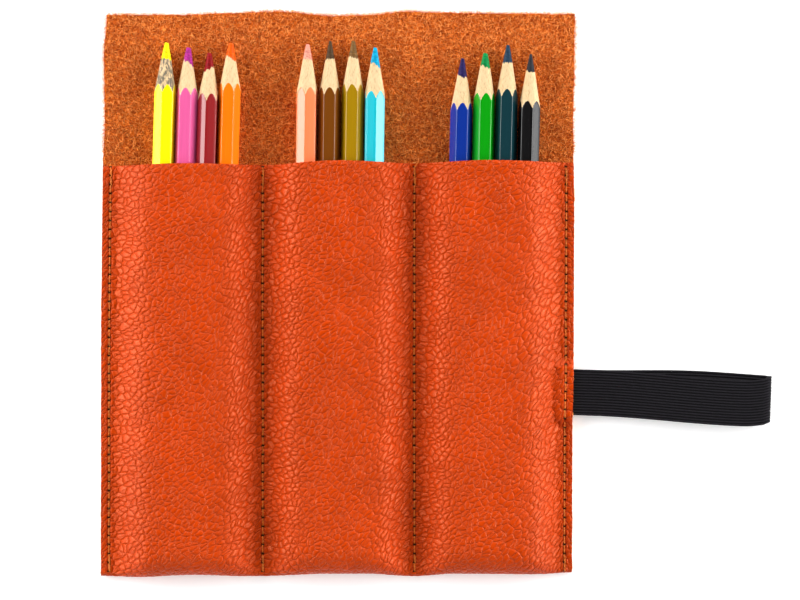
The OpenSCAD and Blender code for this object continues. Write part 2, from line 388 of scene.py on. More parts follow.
def pebble_pattern(recipe, place, pebble):
    """Pebbled grain: the pebbles' domes, their crisp rims, and how deep in a crease a place is.

    The rows of pebbles bow across each pocket.
    """
    across = recipe.add("ShaderNodeSeparateXYZ", {0: place}).outputs[0]
    step = SEAM_X[1] - SEAM_X[0]
    along_pocket = recipe.maths("WRAP", recipe.maths("SUBTRACT", across, SEAM_X[0]), step, 0.0)
    off = recipe.maths("SUBTRACT", along_pocket, step / 2)
    bow = recipe.maths("MULTIPLY", recipe.maths("MULTIPLY", off, off), -0.5 / step)
    bent = recipe.vector("ADD", place, recipe.add("ShaderNodeCombineXYZ", {"Y": bow}).outputs[0])
    flow = recipe.wander(bent, 0.025, 4.0, 0.0)
    flow = recipe.wander(flow, 0.2, 0.8, 1.0)
    flow = recipe.wander(flow, 0.75, 0.4, 2.0)
    turned = recipe.add(
        "ShaderNodeVectorRotate", {"Vector": flow, "Angle": math.radians(-45)}, rotation_type="Z_AXIS"
    ).outputs[0]
    stretched = recipe.vector("MULTIPLY", turned, (0.7 / pebble, 1.12 / pebble, 1.0 / pebble))
    edge, inner = (
        recipe.add(
            "ShaderNodeTexVoronoi", {"Vector": stretched, "Scale": scale, "Randomness": uneven},
            voronoi_dimensions="2D", feature="DISTANCE_TO_EDGE",
        ).outputs["Distance"]
        for scale, uneven in ((1.0, 0.85), (1.9, 1.0))
    )
    fall = recipe.ramp(edge, 0.0, 0.42, 1.0, 0.0, "LINEAR")
    domes = recipe.maths("SUBTRACT", 1.0, recipe.maths("MULTIPLY", fall, fall))
    folds = recipe.noise(recipe.vector("MULTIPLY", stretched, (0.3, 0.8, 1.0)), 1.0, 1.0)
    folds = recipe.maths("ABSOLUTE", recipe.maths("SUBTRACT", folds, 0.5))
    folds = recipe.ramp(folds, 0.0, 0.045, 1.0, 0.0)
    where = recipe.ramp(recipe.noise(place, 0.13, 2.0), 0.42, 0.62, 0.1, 0.6)
    split = recipe.maths("MULTIPLY", recipe.ramp(inner, 0.0, 0.16, 1.0, 0.0), where)
    rims = recipe.maths("SUBTRACT", recipe.ramp(edge, 0.0, 0.15), recipe.maths("MULTIPLY", split, 0.55))
    rims = recipe.maths("SUBTRACT", rims, recipe.maths("MULTIPLY", folds, 0.5))
    strength = recipe.ramp(recipe.noise(place, 0.6, 2.0), 0.3, 0.6, 0.3, 1.0)
    gaps = recipe.ramp(edge, 0.0, 0.1, 1.0, 0.0)
    crease = recipe.maths("MAXIMUM", gaps, recipe.maths("MULTIPLY", folds, 0.7))
    return domes, rims, recipe.maths("MULTIPLY", crease, strength)


def raise_pebbles(piece, settings):
    """Lift the pebbles of the grain out of the sheet, with the same pattern that its material has."""
    group = bpy.data.node_groups.new("Raised pebbles", "GeometryNodeTree")
    group.interface.new_socket("Geometry", in_out="INPUT", socket_type="NodeSocketGeometry")
    group.interface.new_socket("Geometry", in_out="OUTPUT", socket_type="NodeSocketGeometry")
    recipe = Recipe(group)
    start = recipe.add("NodeGroupInput").outputs[0]
    named = recipe.add("GeometryNodeInputNamedAttribute", {"Name": "hide_place"}, data_type="FLOAT_VECTOR")
    domes, _, _ = pebble_pattern(recipe, named.outputs["Attribute"], settings.pebble_size / MM)
    raised = recipe.maths("MULTIPLY", recipe.maths("SUBTRACT", domes, 0.75), settings.pebble_relief)
    normal = recipe.add("GeometryNodeInputNormal").outputs[0]
    offset = recipe.scaled(normal, raised)
    moved = recipe.add("GeometryNodeSetPosition", {"Geometry": start, "Offset": offset}).outputs[0]
    end = recipe.add("NodeGroupOutput")
    group.links.new(moved, end.inputs[0])
    modifier = piece.modifiers.new("Raised pebbles", "NODES")
    modifier.node_group = group


def flank(d):
    """Height of a filled pocket over its seams, at a distance from its edge."""
    if d <= 0:
        return 0.0
    eased = 1.08 * (math.sqrt(d * d + 6.76) - 2.6)
    return eased / (1 + (eased / (RISE + 0.8)) ** 3) ** (1 / 3)


def seam_at(x):
    """The nearest seam's place and the distance to it."""
    nearest = min(SEAM_X, key=lambda s: abs(s - x))
    return nearest, x - nearest


def drift_x(x, y):
    """Sideways wander of the hide: seams that aren't quite straight, and hand-cut side edges."""
    seam, off = seam_at(x)
    sway = 0.16 * noise.noise(Vector((seam * 0.7, y / 19.0, 3.0))) * math.exp(-((off / 7.0) ** 2))
    left = along_edge(LEFT_EDGE, y) * smooth(-66, -HALF_W, x)
    right = along_edge(RIGHT_EDGE, y) * smooth(66, HALF_W, x)
    fray = 0.1 * noise.noise(Vector((x, y / 2.3, 9.0))) * (smooth(-78, -HALF_W, x) + smooth(78, HALF_W, x))
    return sway + left + right + fray


def band_swell(x, y):
    """Swell of the right-hand margin over the sewn ends of the elastic."""
    if x < 0.7 * HALF_W:
        return 0.0
    return 2 * BAND_T * smooth(BAND_W / 2 + 3.8, BAND_W / 2 + 0.4, abs(y - BAND_Y))


def groove_depth(x, y, deep):
    """Dip of the leather under a seam's stitches, deepest at the needle holes."""
    if y > MOUTH_Y - 0.4:
        return 0.0
    off = seam_at(x)[1]
    holes = 0.5 + 0.5 * math.cos(2 * math.pi * (MOUTH_Y - END_GAP - y) / PITCH)
    return deep * (0.65 + 0.35 * holes) * math.exp(-((off / 0.62) ** 2))


def pocket_shape(side, x, y):
    """Height of the pocket's hollow over the flat seams, 0 at its edges."""
    low, high = HOLLOWS[side]
    full = flank(min(x - low, high - x))
    slack = 0.45 * noise.noise(Vector((x / 13.0, y / 21.0, 5.0)))
    slack += 0.2 * noise.noise(Vector((x / 5.0, y / 9.0, 1.0)))
    bows = full / RISE
    return max(0.0, full + (slack - 0.15) * bows * bows)


def front_place(side, x, stretch, part):
    """Outer surface of a pocket front. Returns the place and the hide's flat coordinates, in millimetres.

    stretch is "under" for the strip under the case, "bend" for the bottom fold, "face" for the face.
    part runs from 0 to 1 along that stretch, going from the underside to the mouth.
    """
    bottom = along_edge(BOTTOM_EDGE, x)
    bow = flank(min(x - HOLLOWS[side][0], HOLLOWS[side][1] - x)) / RISE
    reach = 1.4 + 6.6 * bow
    crest = bottom + reach
    full = 2 * LEATHER + pocket_shape(side, x, crest)
    bend_length = math.pi * math.sqrt((reach * reach + full * full / 4) / 2)
    if stretch == "under":
        y = UNDER_START + (crest - UNDER_START) * part
        flat = crest - bend_length - (y - crest)
        return Vector((x + drift_x(x, y), y, 0.0)), Vector((x, flat, 0.0))
    if stretch == "bend":
        angle = math.pi * (part - 0.5)
        y = crest - reach * math.cos(angle)
        z = full / 2 * (1 + math.sin(angle))
        flat = crest - bend_length * (1 - part)
        return Vector((x + drift_x(x, y), y, z)), Vector((x, flat, 0.0))
    mouth = along_edge(MOUTH_EDGE, x)
    y = crest + (mouth - crest) * part
    hollow = pocket_shape(side, x, y)
    swell = band_swell(x, y)
    z = 2 * LEATHER + max(hollow, swell) - groove_depth(x, y, 0.42)
    z -= 0.25 * smooth(mouth - 1.2, mouth, y)
    return Vector((x + drift_x(x, y), y, z)), Vector((x, y, 0.0))


def back_place(x, part):
    """Outer surface of the back and flap, from the flap's edge (0) to the bottom strip (1)."""
    top = along_edge(TOP_EDGE, x) + 0.12 * noise.noise(Vector((x / 1.7, 4.0, 0.0)))
    y = top + (UNDER_START - top) * part
    crest = along_edge(BOTTOM_EDGE, x) + 1.4
    lift = 0.5 * smooth(70, 96, y) * (0.5 + noise.noise(Vector((x / 17.0, y / 15.0, 7.0))))
    z = 0.1 + groove_depth(x, y, 0.4) + max(0.0, lift)
    return Vector((x + drift_x(x, y), y, z)), Vector((x, 2 * crest - y - 6.0, 0.0))


def stations_across(span, step):
    """Places across a panel, closer together beside the seams."""
    places = [span[0]]
    while True:
        off = abs(seam_at(places[-1])[1])
        here = places[-1] + (0.24 if off < 1.7 else step)
        if here > span[1] - 0.5 * step:
            break
        places.append(here)
    places.append(span[1])
    return places


def hide_sheet(name, across, rows, place):
    """A sheet of leather: a grid moved onto its outer surface, given pebbles, then its thickness."""
    bm = bmesh.new()
    flat_layer = bm.verts.layers.float_vector.new("hide_place")
    columns = len(across) - 1
    lines = len(rows) - 1
    bmesh.ops.create_grid(bm, x_segments=columns, y_segments=lines, size=1.0)
    for vert in bm.verts:
        column = round((vert.co.x + 1) / 2 * columns)
        line = round((vert.co.y + 1) / 2 * lines)
        spot, flat = place(across[column], *rows[line])
        vert.co = spot * MM
        vert[flat_layer] = flat
    piece = finished(name, bm, leather_finishes())
    raise_pebbles(piece, bpy.context.scene.leather)
    solid = piece.modifiers.new("Thickness", "SOLIDIFY")
    solid.thickness = (LEATHER - 0.04) * MM
    solid.offset = -1.0
    solid.use_rim = True
    solid.material_offset = 1
    solid.material_offset_rim = 2
    apply_modifiers(piece)
    return piece


def ride_fold(piece, side):
    """Fix a piece of the middle third to its body; a piece of the left or right third keeps its place in
    the case's frame.
    """
    if side == "middle":
        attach(piece, "middle_panel")
    elif side == "left":
        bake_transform(piece)
    else:
        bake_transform(piece)


def seam_holes(recipe, place, radius):
    """1 in the needle holes of the four seams, fading to 0 around them, and the same for their grooves."""
    split = recipe.add("ShaderNodeSeparateXYZ", {0: place})
    step = SEAM_X[1] - SEAM_X[0]
    across = recipe.maths("PINGPONG", recipe.maths("SUBTRACT", split.outputs[0], SEAM_X[0]), step / 2)
    along = recipe.maths("SUBTRACT", MOUTH_Y - END_GAP, split.outputs[1])
    near = recipe.maths("PINGPONG", along, PITCH / 2)
    squares = [recipe.maths("POWER", side, 2.0) for side in (across, near)]
    away = recipe.maths("SQRT", recipe.maths("ADD", *squares))
    spot = recipe.ramp(away, radius * 0.7, radius * 1.5, 1.0, 0.0)
    inside = recipe.maths("MULTIPLY", recipe.maths("GREATER_THAN", along, -0.2),
                          recipe.maths("LESS_THAN", along, STITCHES * PITCH + 0.2))
    groove = recipe.ramp(across, 0.25, 1.0, 1.0, 0.0)
    return recipe.maths("MULTIPLY", spot, inside), recipe.maths("MULTIPLY", groove, inside)


def grain_material():
    """Pebbled top grain, orange, softly shining, with painted shade in its creases and seam grooves, and
    needle holes along the seams that are dented and painted dark as shade.
    """
    settings = bpy.context.scene.leather
    sewing = bpy.context.scene.sewing
    material, recipe, shader = new_material("Pebbled orange grain")
    place = place_of(recipe, "hide_place")
    domes, rims, crease = pebble_pattern(recipe, place, settings.pebble_size / MM)
    holes, groove = seam_holes(recipe, place, sewing.hole_radius / MM)
    tone = recipe.noise(place, 0.05, 3.0, 0.6)
    grain = settings.grain_colour
    warm = recipe.mix(recipe.ramp(tone, 0.3, 0.7), shade(grain, 0.9), shade(grain, 1.08))
    speck = recipe.noise(place, 3.0, 3.0, 0.7)
    worn = recipe.mix(recipe.ramp(speck, 0.35, 0.75, 0.0, 0.35), warm, shade(grain, 0.78))
    # Painted shade: the creases are darkened towards the crease colour, where shade falls between the
    # pebbles
    crease_shaded = recipe.mix(recipe.maths("MULTIPLY", crease, 0.26), worn, settings.crease_shade_colour)
    # Painted shade: the seam's groove is darkened a little towards the crease colour
    groove_shaded = recipe.mix(recipe.maths("MULTIPLY", groove, 0.08), crease_shaded, settings.crease_shade_colour)
    # Painted shade: the needle holes are painted near black for the shade inside them; the bump dents them
    # as well
    hole_shaded = recipe.mix(holes, groove_shaded, (0.012, 0.004, 0.002))
    pores = recipe.noise(place, 4.5, 3.0, 0.65)
    rough = recipe.ramp(pores, 0.3, 0.75, 0.26, 0.38, "LINEAR")
    rough = recipe.maths("ADD", rough, recipe.maths("MULTIPLY", crease, 0.2))
    fine = recipe.bump(pores, 0.5, 0.00008)
    raised = recipe.maths("ADD", recipe.maths("MULTIPLY", domes, 0.4), recipe.maths("MULTIPLY", rims, 0.62))
    dented = recipe.maths("SUBTRACT", raised, recipe.maths("MULTIPLY", holes, 2.5))
    recipe.feed(shader, {
        "Base Color": hole_shaded, "Roughness": rough, "Specular IOR Level": 0.4,
        "Specular Tint": (1.0, 0.49, 0.24, 1.0), "Normal": recipe.bump(dented, 1.0, 0.00028, Normal=fine),
    })
    return material


def flesh_material():
    """Napped flesh side: matted fibres of light and deep orange brown; the deep colour in the nap's hollows
    is painted shade.
    """
    settings = bpy.context.scene.leather
    material, recipe, shader = new_material("Napped flesh side")
    place = place_of(recipe, "hide_place")
    curl = recipe.wander(place, 0.4, 1.5, 3.0)
    curl = recipe.wander(curl, 1.2, 0.4, 2.0)
    strands = recipe.noise(recipe.vector("MULTIPLY", curl, (0.5, 2.1, 1.0)), 1.0, 2.0, 0.65)
    crossing = recipe.noise(recipe.vector("MULTIPLY", curl, (2.0, 0.5, 1.0)), 1.1, 2.0, 0.65)
    woolly = recipe.maths("MAXIMUM", strands, crossing)
    patches = recipe.noise(place, 0.09, 3.0, 0.55)
    # Painted shade: the hollows between the fibres are darkened to the flesh shade colour
    nap_shade_mask = recipe.ramp(woolly, 0.44, 0.6)
    base = recipe.mix(nap_shade_mask, settings.flesh_deep, settings.flesh_colour)
    light = recipe.mix(recipe.ramp(woolly, 0.6, 0.68, 0.0, 0.8), base, settings.fibre_colour)
    patchy = recipe.mix(recipe.ramp(patches, 0.35, 0.7, 0.0, 0.35), light, settings.flesh_deep)
    recipe.feed(shader, {
        "Base Color": patchy, "Roughness": 0.95, "Specular IOR Level": 0.1, "Sheen Weight": 0.08,
        "Sheen Roughness": 0.6, "Sheen Tint": (1.0, 0.6, 0.35, 1.0),
        "Normal": recipe.bump(woolly, 1.0, 0.0009),
    })
    return material


def cut_edge_material():
    """Raw cut edge of the leather: dry, fibrous and lighter than the grain."""
    settings = bpy.context.scene.leather
    material, recipe, shader = new_material("Raw cut edge")
    place = place_in_case(recipe)
    fibres = recipe.noise(recipe.wander(place, 0.8, 0.5), 2.6, 4.0, 0.7)
    edge = settings.edge_colour
    tone = recipe.mix(recipe.ramp(fibres, 0.35, 0.7), shade(edge, 0.55), edge)
    bent = recipe.bump(fibres, 0.8, 0.0003)
    recipe.feed(shader, {"Base Color": tone, "Roughness": 0.9, "Normal": bent})
    return material


def fibre_material():
    """Loose nap fibres: pale to deep orange from one fibre to the next."""
    settings = bpy.context.scene.leather
    material, recipe, shader = new_material("Loose nap fibres")
    place = place_in_case(recipe)
    patches = recipe.noise(place, 0.7, 4.0, 0.8)
    fibre = settings.fibre_colour
    tone = recipe.mix(recipe.ramp(patches, 0.4, 0.6), shade(settings.flesh_colour, 0.72), fibre)
    recipe.feed(shader, {"Base Color": tone, "Roughness": 0.7, "Specular IOR Level": 0.3})
    return material


# Share of the back that is the flap and the mouths' inside, and the rows of its mesh there and below
FLAP_SHARE = 0.395
FLAP_ROWS = 110
BACK_ROWS = 66


class PENCILCASE_OT_backs(bpy.types.Operator):
    """Build the back and flap of each third: grain outside, napped flesh side inside"""

    bl_idname = "pencil_case.backs"
    bl_label = "Leather backs and flap"

    def execute(self, context):
        for side in SIDES:
            across = stations_across(SPANS[side], 0.85)
            shown = [(FLAP_SHARE * n / FLAP_ROWS,) for n in range(FLAP_ROWS)]
            hidden = [(FLAP_SHARE + (1 - FLAP_SHARE) * n / BACK_ROWS,) for n in range(BACK_ROWS + 1)]
            piece = hide_sheet(f"{side}_back_leather", across, shown + hidden, back_place)
            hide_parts(f"{side}_back_panel")
            ride_fold(piece, side)
        return {"FINISHED"}


class PENCILCASE_OT_pockets(bpy.types.Operator):
    """Build the front of each pocket with its bottom fold, puffed up by the pencils inside"""

    bl_idname = "pencil_case.pockets"
    bl_label = "Leather pocket fronts"

    def execute(self, context):
        step = context.scene.leather.mesh_step / MM
        face_lines = round(133 / step)
        rows = [("under", n / 5) for n in range(5)]
        rows += [("bend", n / 38) for n in range(38)]
        rows += [("face", n / face_lines) for n in range(face_lines + 1)]
        for side in SIDES:
            across = stations_across(SPANS[side], step)

            def place(x, stretch, part, side=side):
                return front_place(side, x, stretch, part)

            piece = hide_sheet(f"{side}_pocket_leather", across, rows, place)
            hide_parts(f"{side}_pocket_front")
            ride_fold(piece, side)
        return {"FINISHED"}


def leather_finishes():
    """The three finishes of a leather sheet: grain, flesh side, cut edge."""
    wanted = (("Pebbled orange grain", grain_material), ("Napped flesh side", flesh_material),
              ("Raw cut edge", cut_edge_material))
    return [bpy.data.materials.get(name) or make() for name, make in wanted]


# ---- Nap: loose curly fibres over the flap ----

FIBRE_KINDS = 24
EDGE_FIBRES = 920


def curled_fibre(random, length, radius):
    """One fibre, root at the origin, lying along +X with a curl, as a mesh to be copied."""
    bm = bmesh.new()
    steps = 4
    heading = 0.0
    bend = random.uniform(-1.0, 1.0)
    spots = [Vector((0, 0, -0.00004))]
    for n in range(steps):
        heading += bend * random.uniform(0.2, 1.0)
        rise = 0.00009 * math.sin(math.pi * (n + 1) / steps) + random.uniform(0.0, 0.00008)
        last = spots[-1]
        forward = Vector((math.cos(heading), math.sin(heading), 0)) * (length / steps)
        spots.append(Vector((last.x + forward.x, last.y + forward.y, rise)))

    def ring(n):
        ahead = spots[min(n + 1, steps)] - spots[max(n - 1, 0)]
        turn = ahead.to_track_quat("Z", "Y")
        thick = radius * (1 - 0.75 * n / steps)
        return lambda angle: spots[n] + turn @ polar(thick, angle)

    loft(bm, 3, [ring(n) for n in range(steps + 1)], radius)
    bmesh.ops.recalc_face_normals(bm, faces=bm.faces)
    mesh = bpy.data.meshes.new("fibre")
    bm.to_mesh(mesh)
    bm.free()
    return mesh


def add_copy(bm, mesh, matrix):
    """Add a turned and placed copy of a small mesh to a bmesh."""
    mesh.transform(matrix)
    bm.from_mesh(mesh)
    mesh.transform(matrix.inverted())


class PENCILCASE_OT_nap(bpy.types.Operator):
    """Scatter loose curly fibres over the flap and along its cut edges"""

    bl_idname = "pencil_case.nap"
    bl_label = "Nap fibres"

    def execute(self, context):
        settings = context.scene.leather
        random = Random(1907)
        kinds = [
            curled_fibre(random, settings.fibre_length * random.uniform(0.55, 1.35),
                         settings.fibre_radius * random.uniform(0.75, 1.3))
            for _ in range(FIBRE_KINDS)
        ]
        finish = fibre_material()
        for side in SIDES:
            low, high = SPANS[side]
            bm = bmesh.new()
            for _ in range(settings.fibres_per_panel):
                x = random.uniform(low + 0.8 * (side == "left"), high - 0.8 * (side == "right"))
                part = random.uniform(0.004, 0.40)
                spot, _ = back_place(x, part)
                lean = Matrix.Rotation(random.uniform(-0.25, 0.05), 4, "Y")
                turn = Matrix.Rotation(random.uniform(0, 2 * math.pi), 4, "Z")
                size = Matrix.Scale(random.uniform(0.7, 1.25), 4)
                lift = Matrix.Translation(Vector((spot.x, spot.y, spot.z + LEATHER - 0.05)) * MM)
                add_copy(bm, random.choice(kinds), lift @ turn @ lean @ size)
            for _ in range(EDGE_FIBRES):
                self.edge_fibre(bm, random, kinds, side)
            piece = finished(f"{side}_flap_nap", bm, [finish], 80)
            ride_fold(piece, side)
        for mesh in kinds:
            bpy.data.meshes.remove(mesh)
        return {"FINISHED"}

    def edge_fibre(self, bm, random, kinds, side):
        """One short fibre that sticks out of a cut edge."""
        low, high = SPANS[side]
        at_side = side != "middle" and random.random() < 0.4
        if at_side:
            x = low if side == "left" else high
            spot, _ = back_place(x, random.uniform(0.0, 0.26))
            heading = math.pi if side == "left" else 0.0
        else:
            spot, _ = back_place(random.uniform(low, high), 0.0)
            heading = math.pi / 2
        turn = Matrix.Rotation(heading + random.uniform(-0.9, 0.9), 4, "Z")
        size = Matrix.Scale(random.uniform(0.3, 0.75), 4)
        lift = Matrix.Translation(Vector((spot.x, spot.y, spot.z + random.uniform(0.3, 1.15))) * MM)
        add_copy(bm, random.choice(kinds), lift @ turn @ size)


# ---- Seams: lockstitches of a two-ply thread ----

STITCH_KINDS = 5
TAIL_R = 0.0002


def stitch_y(n):
    """Place of a stitch's middle along its seam, counting from the mouth."""
    return MOUTH_Y - END_GAP - (n + 0.5) * PITCH


def stitch_mesh(settings, random):
    """One stitch along +Y, its middle at the origin, both ends diving into their needle holes."""
    bm = bmesh.new()
    steps = 11
    radius = settings.ply_radius
    half = 0.5 * PITCH * MM
    phase = random.uniform(0, 2 * math.pi)
    for ply in (0, 1):
        def middle(t, ply=ply):
            twist = phase + ply * math.pi + t * 2.6 * math.pi
            end = max(0.0, (abs(t - 0.5) - 0.36) / 0.14)
            across = 0.85 * radius * math.cos(twist)
            up = 0.85 * radius * math.sin(twist) - 0.00085 * end * end
            return Vector((across, (2 * t - 1) * half * (1 - 0.08 * end), up))

        def ring(n):
            t = n / steps
            ahead = middle(min(1.0, t + 0.02)) - middle(max(0.0, t - 0.02))
            turn = ahead.to_track_quat("Z", "X")
            spot = middle(t)
            return lambda angle: spot + turn @ polar(radius, angle)

        loft(bm, 6, [ring(n) for n in range(steps + 1)], radius)
    bmesh.ops.recalc_face_normals(bm, faces=bm.faces)
    mesh = bpy.data.meshes.new("stitch")
    bm.to_mesh(mesh)
    bm.free()
    return mesh


def thread_material():
    """Waxed ochre thread with fine filaments and soiled patches."""
    settings = bpy.context.scene.sewing
    material, recipe, shader = new_material("Waxed ochre thread")
    place = place_in_case(recipe)
    filaments = recipe.noise(recipe.vector("MULTIPLY", place, (9.0, 2.5, 9.0)), 1.0, 3.0, 0.6)
    soil = recipe.noise(place, 0.25, 2.0)
    thread = settings.thread_colour
    tone = recipe.mix(recipe.ramp(filaments, 0.3, 0.7), shade(thread, 0.6), thread)
    tone = recipe.mix(recipe.ramp(soil, 0.45, 0.7, 0.0, 0.35), tone, shade(thread, 0.45))
    bent = recipe.bump(filaments, 0.6, 0.00005)
    recipe.feed(shader, {"Base Color": tone, "Roughness": 0.6, "Normal": bent})
    return material


class PENCILCASE_OT_seams(bpy.types.Operator):
    """Sew the four seams: a row of twisted stitches on the front and one in the back's groove"""

    bl_idname = "pencil_case.seams"
    bl_label = "Sewing threads"

    def execute(self, context):
        finish = thread_material()
        random = Random(45)
        kinds = [stitch_mesh(context.scene.sewing, random) for _ in range(STITCH_KINDS)]
        bodies = ("left_panel", "middle_panel", "middle_panel", "right_panel")
        for seam, body, x in zip(SEAMS, bodies, SEAM_X):
            side = "left" if x < -FOLD_X else "right" if x > FOLD_X else "middle"
            top = bmesh.new()
            under = bmesh.new()
            for n in range(STITCHES):
                y = stitch_y(n)
                swell = band_swell(x, y)
                sway = drift_x(x, y)
                tilt = Matrix.Rotation(math.radians(random.uniform(-3, 3)), 4, "Z")
                spot = Vector((x + sway, y, 2 * LEATHER + swell - 0.2)) * MM
                add_copy(top, random.choice(kinds), Matrix.Translation(spot) @ tilt)
                flip = Matrix.Rotation(math.pi, 4, "Y")
                spot = Vector((x + sway, y, 0.33)) * MM
                add_copy(under, random.choice(kinds), Matrix.Translation(spot) @ flip)
            for n in (0.25, 1.2, STITCHES - 1.8, STITCHES - 0.9):
                y = stitch_y(n)
                spot = Vector((x + drift_x(x, y) + random.uniform(0.15, 0.3), y, 2 * LEATHER - 0.05)) * MM
                add_copy(top, random.choice(kinds), Matrix.Translation(spot))
            if seam == "right_inner":
                self.add_tail(top, x)
            for bm, kind in ((top, "top"), (under, "bobbin")):
                piece = finished(f"{seam}_{kind}_stitches", bm, [finish], 70)
                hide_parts(f"{seam}_{kind}_thread")
                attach(piece, body)
        for mesh in kinds:
            bpy.data.meshes.remove(mesh)
        return {"FINISHED"}

    def add_tail(self, bm, x):
        """A loose end of thread at the head of the seam."""
        start = Vector((x + 0.2, MOUTH_Y - 1.4, 2 * LEATHER + 0.1)) * MM
        steps = 8

        def spot(t):
            return start + Vector((1.3 * t + 0.5 * math.sin(3 * t), 3.6 * t, 0.7 * math.sin(2.6 * t))) * MM

        def ring(n):
            t = n / steps
            turn = (spot(t + 0.02) - spot(t - 0.02)).to_track_quat("Z", "X")
            thick = TAIL_R * (1 - 0.4 * t)
            return lambda angle: spot(t) + turn @ polar(thick, angle)

        loft(bm, 8, [ring(n) for n in range(steps + 1)], TAIL_R)


# ---- Elastic: a ribbed band doubled into a loop ----

SWING_X = HALF_W + 1.6
SWING_Z = LEATHER + BAND_T
LOOP_TURN = math.radians(-2)
NOSE_R = 2.85
NOSE_Z = 3.05
NOSE_X = 63.55
JOIN_X = 3.4


def leg_height(along, upper):
    """Height of a leg's middle at a distance beyond the swing line."""
    start = SWING_Z + (BAND_T / 2 if upper else -BAND_T / 2)
    end = NOSE_Z + (NOSE_R - BAND_T / 2) * (1 if upper else -1)
    run = 0.9 if upper else 0.4
    share = smooth(0, run, max(0.0, along - 1) / (NOSE_X - 1))
    return start + (end - start) * share


def band_strip(bm, spots, flat_start, skew):
    """Ribbed strip of elastic along a path of (along, height) places, with its thickness.

    skew gives the sideways shift at each place of the path.
    """
    settings = bpy.context.scene.elastic
    flat_layer = bm.verts.layers.float_vector.get("band_place")
    columns = settings.ribs * 8
    lines = len(spots) - 1
    grid = bmesh.ops.create_grid(bm, x_segments=columns, y_segments=lines, size=1.0)["verts"]
    travelled = [flat_start]
    for a, b in zip(spots, spots[1:]):
        travelled.append(travelled[-1] + math.dist(a, b))
    for vert in grid:
        across = vert.co.x * BAND_W / 2
        line = round((vert.co.y + 1) / 2 * lines)
        before, after = spots[max(line - 1, 0)], spots[min(line + 1, lines)]
        run, climb = after[0] - before[0], after[1] - before[1]
        outward = Vector((climb, 0.0, -run)).normalized()
        along, height = spots[line]
        vert.co = Vector((along, across + skew(line / lines), height)) + outward * (BAND_T / 2)
        vert[flat_layer] = Vector((travelled[line], across, 0.0))
    faces = list(dict.fromkeys(face for vert in grid for face in vert.link_faces))
    bmesh.ops.recalc_face_normals(bm, faces=faces)
    bm.normal_update()
    if vert.link_faces[0].normal.dot(outward) < 0:
        bmesh.ops.reverse_faces(bm, faces=faces)
    bm.normal_update()
    bmesh.ops.solidify(bm, geom=faces, thickness=BAND_T)


def band_piece(name, strips):
    """A piece of the band in the case's frame, from its strips."""
    settings = bpy.context.scene.elastic
    bm = bmesh.new()
    layer = bm.verts.layers.float_vector.new("band_place")
    for spots, flat_start, skew in strips:
        band_strip(bm, spots, flat_start, skew)
    bmesh.ops.recalc_face_normals(bm, faces=bm.faces)
    bm.normal_update()
    pitch = BAND_W / settings.ribs
    moved = []
    for vert in bm.verts:
        across = vert[layer].y
        rib = abs(math.sin(math.pi * (across + BAND_W / 2) / pitch)) ** 0.6
        wave = 0.02 * noise.noise(Vector((vert[layer].x / 3.0, across, 2.0)))
        moved.append(vert.co + vert.normal * ((rib - 0.9) * settings.rib_relief / MM + wave))
    for vert, spot in zip(bm.verts, moved):
        vert.co = spot
    turn = Matrix.Translation((SWING_X, BAND_Y, 0)) @ Matrix.Rotation(LOOP_TURN, 4, "Z")
    bmesh.ops.transform(bm, matrix=Matrix.Scale(MM, 4) @ turn, verts=bm.verts)
    return finished(name, bm, [band_material()], 60)


def band_material():
    """Black knitted elastic: ribs with fine stitches across them and a dusty bloom, with painted shade
    between the ribs and in the gaps of the knit.
    """
    found = bpy.data.materials.get("Black ribbed elastic")
    if found:
        return found
    settings = bpy.context.scene.elastic
    material, recipe, shader = new_material("Black ribbed elastic")
    place = place_of(recipe, "band_place")
    split = recipe.add("ShaderNodeSeparateXYZ", {0: place})
    pitch = BAND_W / settings.ribs
    rib = recipe.maths("PINGPONG", recipe.maths("ADD", split.outputs[1], BAND_W / 2), pitch / 2)
    crown = recipe.ramp(rib, 0.0, pitch / 2)
    slanted = recipe.maths("ADD", split.outputs[0], recipe.maths("MULTIPLY", rib, 0.5))
    knit = recipe.ramp(recipe.maths("PINGPONG", slanted, 0.22), 0.0, 0.22)
    fuzz = recipe.noise(place, 2.2, 4.0, 0.75)
    # Painted shade: the grooves between the ribs and the gaps of the knit are darkened towards the
    # near-black groove colour
    tone = recipe.mix(crown, settings.rib_gap_shade_colour, settings.band_colour)
    tone = recipe.mix(recipe.ramp(knit, 0.0, 1.0, 0.35, 0.0), tone, settings.rib_gap_shade_colour)
    tone = recipe.mix(recipe.ramp(fuzz, 0.55, 0.8, 0.0, 0.5), tone, shade(settings.band_colour, 2.6))
    height = recipe.maths("ADD", crown, recipe.maths("MULTIPLY", knit, 0.35))
    height = recipe.maths("ADD", height, recipe.maths("MULTIPLY", fuzz, 0.3))
    recipe.feed(shader, {
        "Base Color": tone, "Roughness": 0.75, "Specular IOR Level": 0.1, "Sheen Weight": 0.01,
        "Sheen Roughness": 0.5, "Normal": recipe.bump(height, 1.0, 0.00022),
    })
    return material


